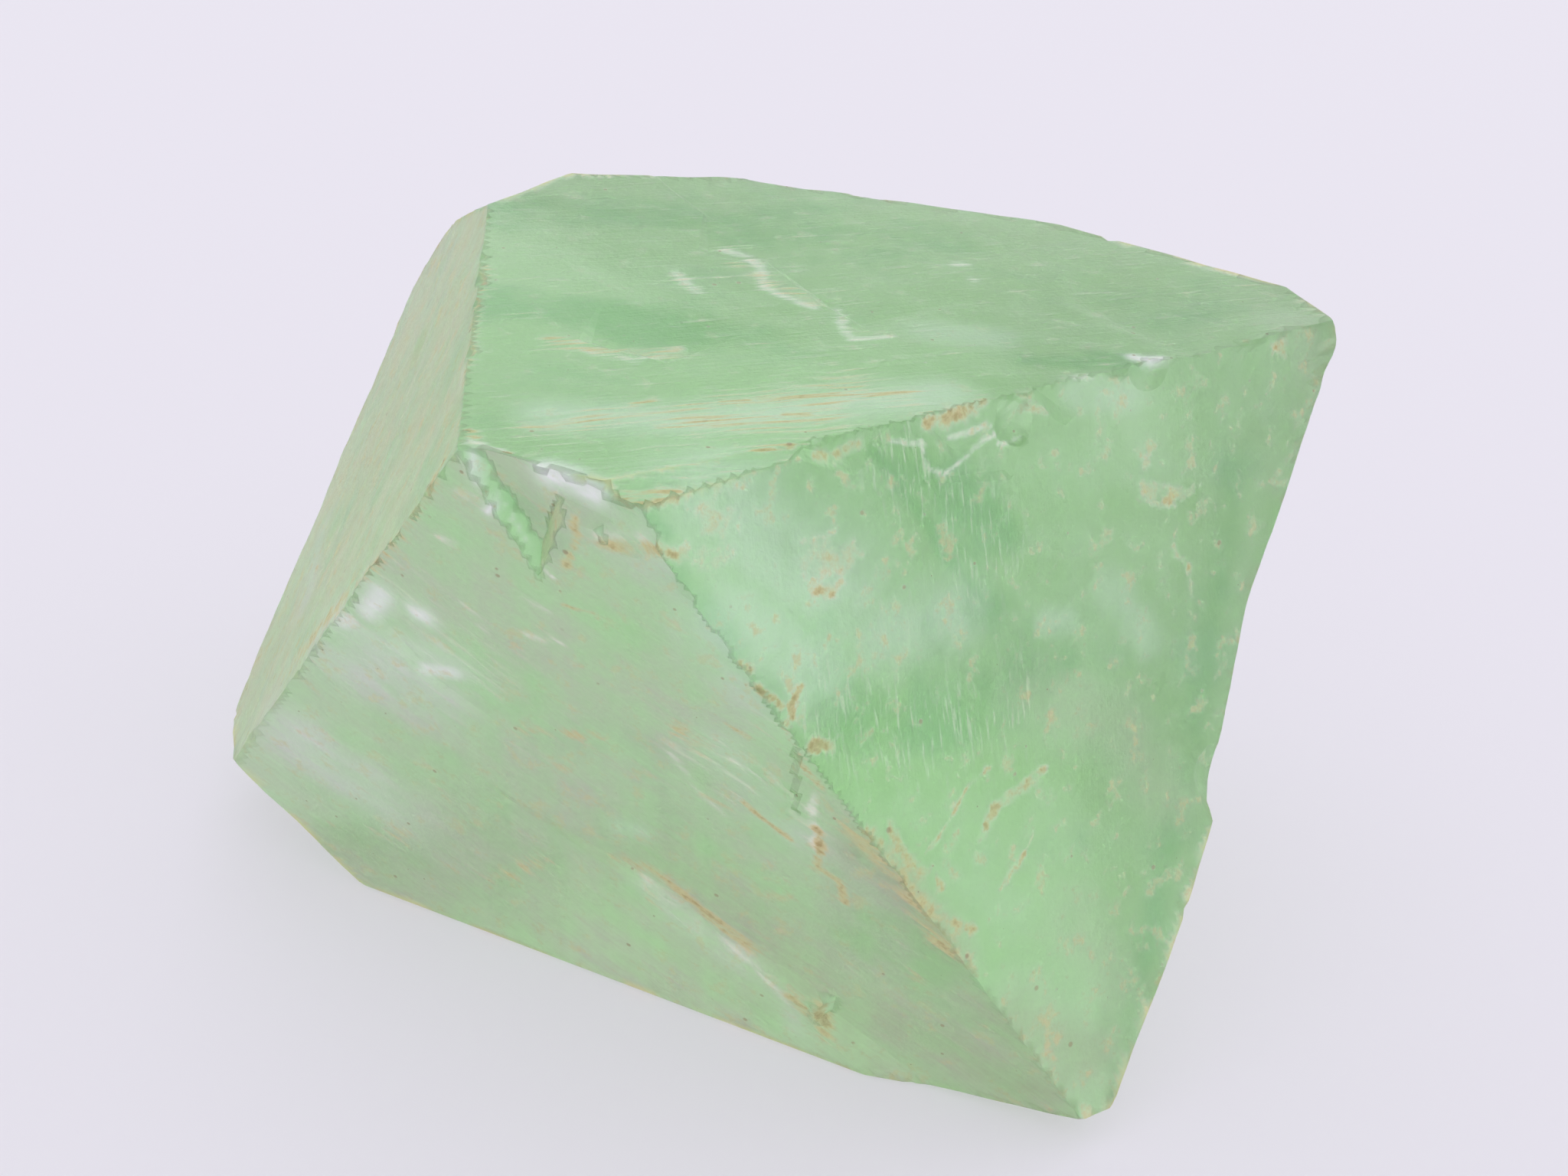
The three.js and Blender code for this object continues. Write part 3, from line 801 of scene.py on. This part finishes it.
# painted shade: the tint turns a darker green under the dark-zone strokes, and also where the slow waves
# rise, which varies the tone at random
shade_and_cloud = smooth(marks["deep"] + 0.6 * cloud + 0.4 * blotch, 0.05, 1.1)
tint = shift_to(np.tile(CLEAR, (len(points), 1)), DEEP_GREEN, shade_and_cloud)
film = by_face([FILMS.get(face, HIDDEN_FILM)[0] for face in FACES])
cover = by_face([FILMS.get(face, HIDDEN_FILM)[1] for face in FACES])
cover = cover * (1 + 0.8 * cloud + 0.6 * blotch)
# mark: the colour of its film and the share that it covers at full strength. The milky marks also carry
# painted highlights, the sheen marks are painted sheen, the bright marks hold a painted glint among white
# bruises, the brown-grey marks darken mostly the low part of the stone, and the fringe is a painted yellow
# fringe of light along the edges.
MARK_FILMS = {
    "haze": (MILK, 0.34),
    "sheen": (LAVENDER, 0.42),
    "grime": (BROWN_GREY, 0.42),
    "bright": (WHITE, 0.8),
    "fringe": (FRINGE, 0.75),
}
for name, (colour, thickness) in MARK_FILMS.items():
    film = shift_to(film, colour, marks[name])
    cover = np.maximum(cover, thickness * marks[name])
print("film covers", round(float(cover.mean()), 3), "of the skin on average")

# %% Store the finish on the mesh points


def paint(name, colours, strength):
    """Stores three values and a fourth, the strength, on the mesh points as one named colour."""
    values = np.concatenate([colours, strength[:, None]], axis=1)
    layer = crystal.data.color_attributes.new(name, "FLOAT_COLOR", "POINT")
    layer.data.foreach_set("color", np.clip(values, 0, 1).astype(np.float32).ravel())
    print(name, "means", np.round(values.mean(axis=0), 3).tolist())


def fibre_places():
    """Skin places counted in fibre lengths along a face's run and in fibre widths across it."""
    counted = points.copy()
    for number, face in enumerate(FACES):
        run, length, width = FIBRES.get(face, HIDDEN_FIBRES)
        along = np.array(run) / np.linalg.norm(run)
        here = points[side == number]
        counted[side == number] = here / width + np.outer(here @ along, along) * (1 / length - 1 / width)
    return counted


# the painted edge fringe also lays a little stain and bruise along the edges
FRINGE_STAIN = 0.35
FRINGE_BRUISE = 0.3
# on the hidden faces: strength, patch size in millimetres, and where the patches start and are full
OLD_STAIN = (0.65, 1.3, 0.25, 0.6)
OLD_BRUISE = (0.6, 1.7, 0.3, 0.65)


def old_wear(places, strength, size, low, high):
    """Patches of wear on the hidden faces, where the slow waves rise past low."""
    hidden = by_face([face not in FILMS for face in FACES])
    return strength * hidden * smooth(slow_waves(places, size), low, high)


paint("tint", tint, marks["comb"])
paint("film", film, cover)
fringe = marks["fringe"]
old_stain = old_wear(points[:, (1, 2, 0)], *OLD_STAIN)
old_bruise = old_wear(points[:, (2, 0, 1)], *OLD_BRUISE)
stain_at = np.maximum.reduce([marks["iron"], FRINGE_STAIN * fringe, old_stain])
bruise_at = np.maximum.reduce([marks["cream"], FRINGE_BRUISE * fringe, old_bruise])
streaks_at = by_face([STREAKS.get(face, 0.0) for face in FACES])
paint("stain", np.stack([bruise_at, stain_at, streaks_at], axis=1), fringe)
grain = crystal.data.attributes.new("grain", "FLOAT_VECTOR", "POINT")
grain.data.foreach_set("vector", fibre_places().astype(np.float32).ravel())

# %% [markdown]
# ## Shader arithmetic
# A crystal's finish is a recipe of many small sums, and wiring each sum by hand hides the recipe.
# One small class wraps a node's output so that plus and times add the Math nodes themselves.

# %% Sockets that do arithmetic


class Wire:
    """One node output. Arithmetic on it adds Math nodes, and node() adds any other kind."""

    def __init__(self, socket):
        self.socket = socket

    def node(self, kind, settings, values, output=0):
        """Adds a node, applies its settings, then fills its inputs with values or other wires."""
        tree = self.socket.id_data
        made = tree.nodes.new(kind)
        for name, value in settings.items():
            setattr(made, name, value)
        for name, value in values.items():
            if isinstance(value, Wire):
                tree.links.new(value.socket, made.inputs[name])
            else:
                made.inputs[name].default_value = value
        return Wire(made.outputs[output])

    def maths(self, operation, first, second):
        return self.node("ShaderNodeMath", {"operation": operation}, {0: first, 1: second})

    def __add__(self, other):
        return self.maths("ADD", self, other)

    def __sub__(self, other):
        return self.maths("SUBTRACT", self, other)

    def __rsub__(self, other):
        return self.maths("SUBTRACT", other, self)

    def __mul__(self, other):
        return self.maths("MULTIPLY", self, other)

    def __truediv__(self, other):
        return self.maths("DIVIDE", self, other)

    def __rtruediv__(self, other):
        return self.maths("DIVIDE", other, self)

    def most(self, other):
        return self.maths("MAXIMUM", self, other)

    def least(self, other):
        return self.maths("MINIMUM", self, other)

    __radd__ = __add__
    __rmul__ = __mul__

    def step(self, low, high):
        """A smooth step from 0 at low to 1 at high."""
        values = {"Value": self, "From Min": low, "From Max": high}
        return self.node("ShaderNodeMapRange", {"interpolation_type": "SMOOTHSTEP"}, values)

    def blend(self, first, second):
        """The first colour where this is 0 and the second where it is 1."""
        values = {0: self, 6: first, 7: second}
        return self.node("ShaderNodeMix", {"data_type": "RGBA", "clamp_factor": True}, values, 2)

    def grain(self, size, detail=3.0, roughness=0.55):
        """Noise from 0 to 1 over this place, with features of the given size in millimetres."""
        values = {"Vector": self, "Scale": 1 / size, "Detail": detail, "Roughness": roughness}
        return self.node("ShaderNodeTexNoise", {}, values)


print("sockets can now add, subtract, multiply, divide and blend")

# %% [markdown]
# ## Green fluorite
# Fluorite is a clear glassy mineral. Its green is a little absorption along the light's way, so a thick part
# is deeper in colour than a thin edge; a coloured surface could not do that. On top of that the glass's tint
# carries painted shade: darker greens where the inside looks dim. Rough glass with fluorite's own index of
# refraction gives the hazy view into it. Over the glass lies what the years left: dust, bruises and iron
# stain, and with them painted sheen, painted highlights and a painted yellow fringe along the edges. They
# are an opaque film, mixed in where the stored strengths say, with edges that noise breaks up.

# %% Read the stored finish
IOR = 1.434
ABSORB = (0.42, 0.94, 0.26, 1)
DENSITY = 60.0
TRANSMISSION = 0.88
green = bpy.data.materials.new("green_fluorite")
green.use_nodes = True
tree = green.node_tree
glass = tree.nodes["Principled BSDF"]
output = tree.nodes["Material Output"]
start = Wire(tree.nodes.new("ShaderNodeTexCoord").outputs["Object"])
place = start.node("ShaderNodeVectorMath", {"operation": "SCALE"}, {0: start, "Scale": 1 / MM})


def stored(name, part):
    """One part of a stored attribute: Color, Vector or Alpha."""
    return start.node("ShaderNodeAttribute", {"attribute_name": name}, {}, part)


def channels(colour):
    """The three channels of a colour."""
    return [start.node("ShaderNodeSeparateColor", {}, {0: colour}, k) for k in range(3)]


bruise, stain, streaky = channels(stored("stain", "Color"))
combed = stored("tint", "Alpha")
film_share = stored("film", "Alpha")
print("stored finish wired in")

# %% Noise at three scales
PATCH_SIZE = 0.30
FINE_SIZE = 0.09
GRIT_SPACING = 0.26
# in shares of the spacing: the smallest grain's reach, and how much more the largest has
GRIT_SMALLEST = 0.02
GRIT_SPREAD = 0.16
GRIT_ON_STAIN = 0.4
GRIT_COVER = 0.55
patch = place.grain(PATCH_SIZE, 3, 0.6)
fine = place.grain(FINE_SIZE, 2, 0.6)
fibre = stored("grain", "Vector").grain(1.0, 2, 0.55)
lumps = patch * 0.75 + fine * 0.25
ragged = lumps + (fibre - lumps) * streaky

grit_cells = {"Vector": place, "Scale": 1 / GRIT_SPACING}
grit_away = place.node("ShaderNodeTexVoronoi", {}, grit_cells)
grit_lot, grit_size, _ = channels(Wire(grit_away.socket.node.outputs["Color"]))
grit_reach = GRIT_SMALLEST + grit_size * grit_size * GRIT_SPREAD
grit_there = (grit_lot + stain * GRIT_ON_STAIN).step(0.55, 0.6)
grit = (1 - (grit_away / grit_reach).step(0.5, 1.1)) * grit_there * GRIT_COVER
print("noise of", PATCH_SIZE, "and", FINE_SIZE, "mm, and grit about every", GRIT_SPACING, "mm")

# %% How much film covers the glass
NOISE_MEAN = 0.5
# how ragged the edges are, where the film starts and is full, and the share that it covers there
BRUISE = (2.0, 0.2, 1.1, 0.62)
STAIN = (2.6, 0.2, 1.0, 0.66)
RUSTED = (2.2, 0.7, 1.3, 0.5)
MOTTLE_COVER = 0.32
THREAD_COVER = 0.32
DUST_AND_SHEEN_LIMIT = 0.9


def broken_up(strength, raggedness, low, high, cover):
    """A stored strength plus noise about zero, as a smooth step from low to high, times its cover."""
    return (strength + (ragged - NOISE_MEAN) * raggedness).step(low, high) * cover


bruised = broken_up(bruise, *BRUISE)
stained = broken_up(stain, *STAIN)
rusty = broken_up(stain + (fine - NOISE_MEAN), *RUSTED)
mottled = (patch + fine * 0.3).step(0.70, 0.86) * (1 - streaky * 0.5) * MOTTLE_COVER
threads = fibre.step(0.54, 0.68) * combed * THREAD_COVER
# the stored film strength carries dust and also the painted sheen, highlights, glint and edge fringe
dust_and_sheen = (film_share * (0.25 + ragged * 1.5)).least(DUST_AND_SHEEN_LIMIT)
bare = (1 - dust_and_sheen) * (1 - bruised) * (1 - stained) * (1 - mottled) * (1 - threads) * (1 - grit)
covered = 1 - bare
# the dust film here includes the painted sheen and highlights
print("six films lie over the glass: dust, bruises, stain, mottles, threads and grit")

# %% Film colour
CREAM_COLOUR = (0.88, 0.87, 0.78, 1)
THREAD_COLOUR = (0.80, 0.86, 0.66, 1)
OCHRE = (0.62, 0.53, 0.29, 1)
RUST = (0.42, 0.32, 0.14, 1)
GRIT_COLOUR = (0.33, 0.24, 0.15, 1)
# each film in turn, multiplied up so that its colour takes over before its cover is full
film_colours = [
    (threads * 2.5, THREAD_COLOUR),
    (bruised * 1.6, CREAM_COLOUR),
    ((mottled * 2.5).most(stained * 1.7), OCHRE),
    (rusty * 2, RUST),
    (grit * 1.6, GRIT_COLOUR),
]
film_colour = stored("film", "Color")
for share, colour in film_colours:
    film_colour = share.blend(film_colour, colour)
print(len(film_colours), "film colours over the dust's own")

# %% Join glass, film and absorption
FILM_ROUGHNESS = 0.75
# heights in millimetres
relief = fine * 0.010 + fibre * (0.004 + streaky * 0.008 + combed * 0.012)
bump = relief.node("ShaderNodeBump", {}, {"Height": relief, "Distance": MM, "Strength": 1.0})
rough = 0.20 + ragged * 0.34
for name, wire in {"Base Color": stored("tint", "Color"), "Roughness": rough, "Normal": bump}.items():
    tree.links.new(wire.socket, glass.inputs[name])
glass.inputs["Transmission Weight"].default_value = TRANSMISSION
glass.inputs["IOR"].default_value = IOR
film_values = {"Base Color": film_colour, "Roughness": FILM_ROUGHNESS, "Normal": bump}
film_shader = film_colour.node("ShaderNodeBsdfPrincipled", {}, film_values)
surface = covered.node("ShaderNodeMixShader", {}, {0: covered, 1: Wire(glass.outputs[0]), 2: film_shader})
tree.links.new(surface.socket, output.inputs["Surface"])
inside = tree.nodes.new("ShaderNodeVolumeAbsorption")
inside.inputs["Color"].default_value = ABSORB
inside.inputs["Density"].default_value = DENSITY
tree.links.new(inside.outputs[0], output.inputs["Volume"])
crystal.data.materials.append(green)
print(len(tree.nodes), "shader nodes")

# %% [markdown]
# ## The table
# The stone lies on pale paper under soft light from all sides, as in a light tent. Lamps would
# draw hard caustics on the paper, so the whole sky is the lamp. The paper glows a little, like
# paper lit through from below, which keeps the foot of the stone bright.

# %% Paper, sky and light paths
PAPER_COLOUR = (0.385, 0.372, 0.415, 1)
PAPER_GLOW = (0.97, 0.94, 1.0, 1)
PAPER_GLOW_STRENGTH = 0.42
SKY_COLOUR = (0.96, 0.95, 1.0, 1)
SKY_STRENGTH = 1.05
PAPER_GAP = 0.05
PAPER_ROUGHNESS = 0.9
MOST_BOUNCES = 32
CLEAR_BOUNCES = 24
bpy.ops.mesh.primitive_plane_add(size=2, location=(0, 0, -PAPER_GAP * MM))
floor = bpy.context.object
floor.name = "floor"
paper = bpy.data.materials.new("pale_paper")
paper.use_nodes = True
paper_shader = paper.node_tree.nodes["Principled BSDF"]
paper_shader.inputs["Base Color"].default_value = PAPER_COLOUR
paper_shader.inputs["Emission Color"].default_value = PAPER_GLOW
paper_shader.inputs["Emission Strength"].default_value = PAPER_GLOW_STRENGTH
paper_shader.inputs["Roughness"].default_value = PAPER_ROUGHNESS
paper.cycles.emission_sampling = "NONE"
floor.data.materials.append(paper)
world = bpy.data.worlds.new("soft_light")
bpy.context.scene.world = world
world.use_nodes = True
sky = world.node_tree.nodes["Background"]
sky.inputs["Color"].default_value = SKY_COLOUR
sky.inputs["Strength"].default_value = SKY_STRENGTH
world.cycles.sampling_method = "NONE"
bpy.context.scene.view_settings.view_transform = "Standard"
paths = bpy.context.scene.cycles
paths.max_bounces = MOST_BOUNCES
paths.glossy_bounces = CLEAR_BOUNCES
paths.transmission_bounces = CLEAR_BOUNCES
print("paper and sky ready")
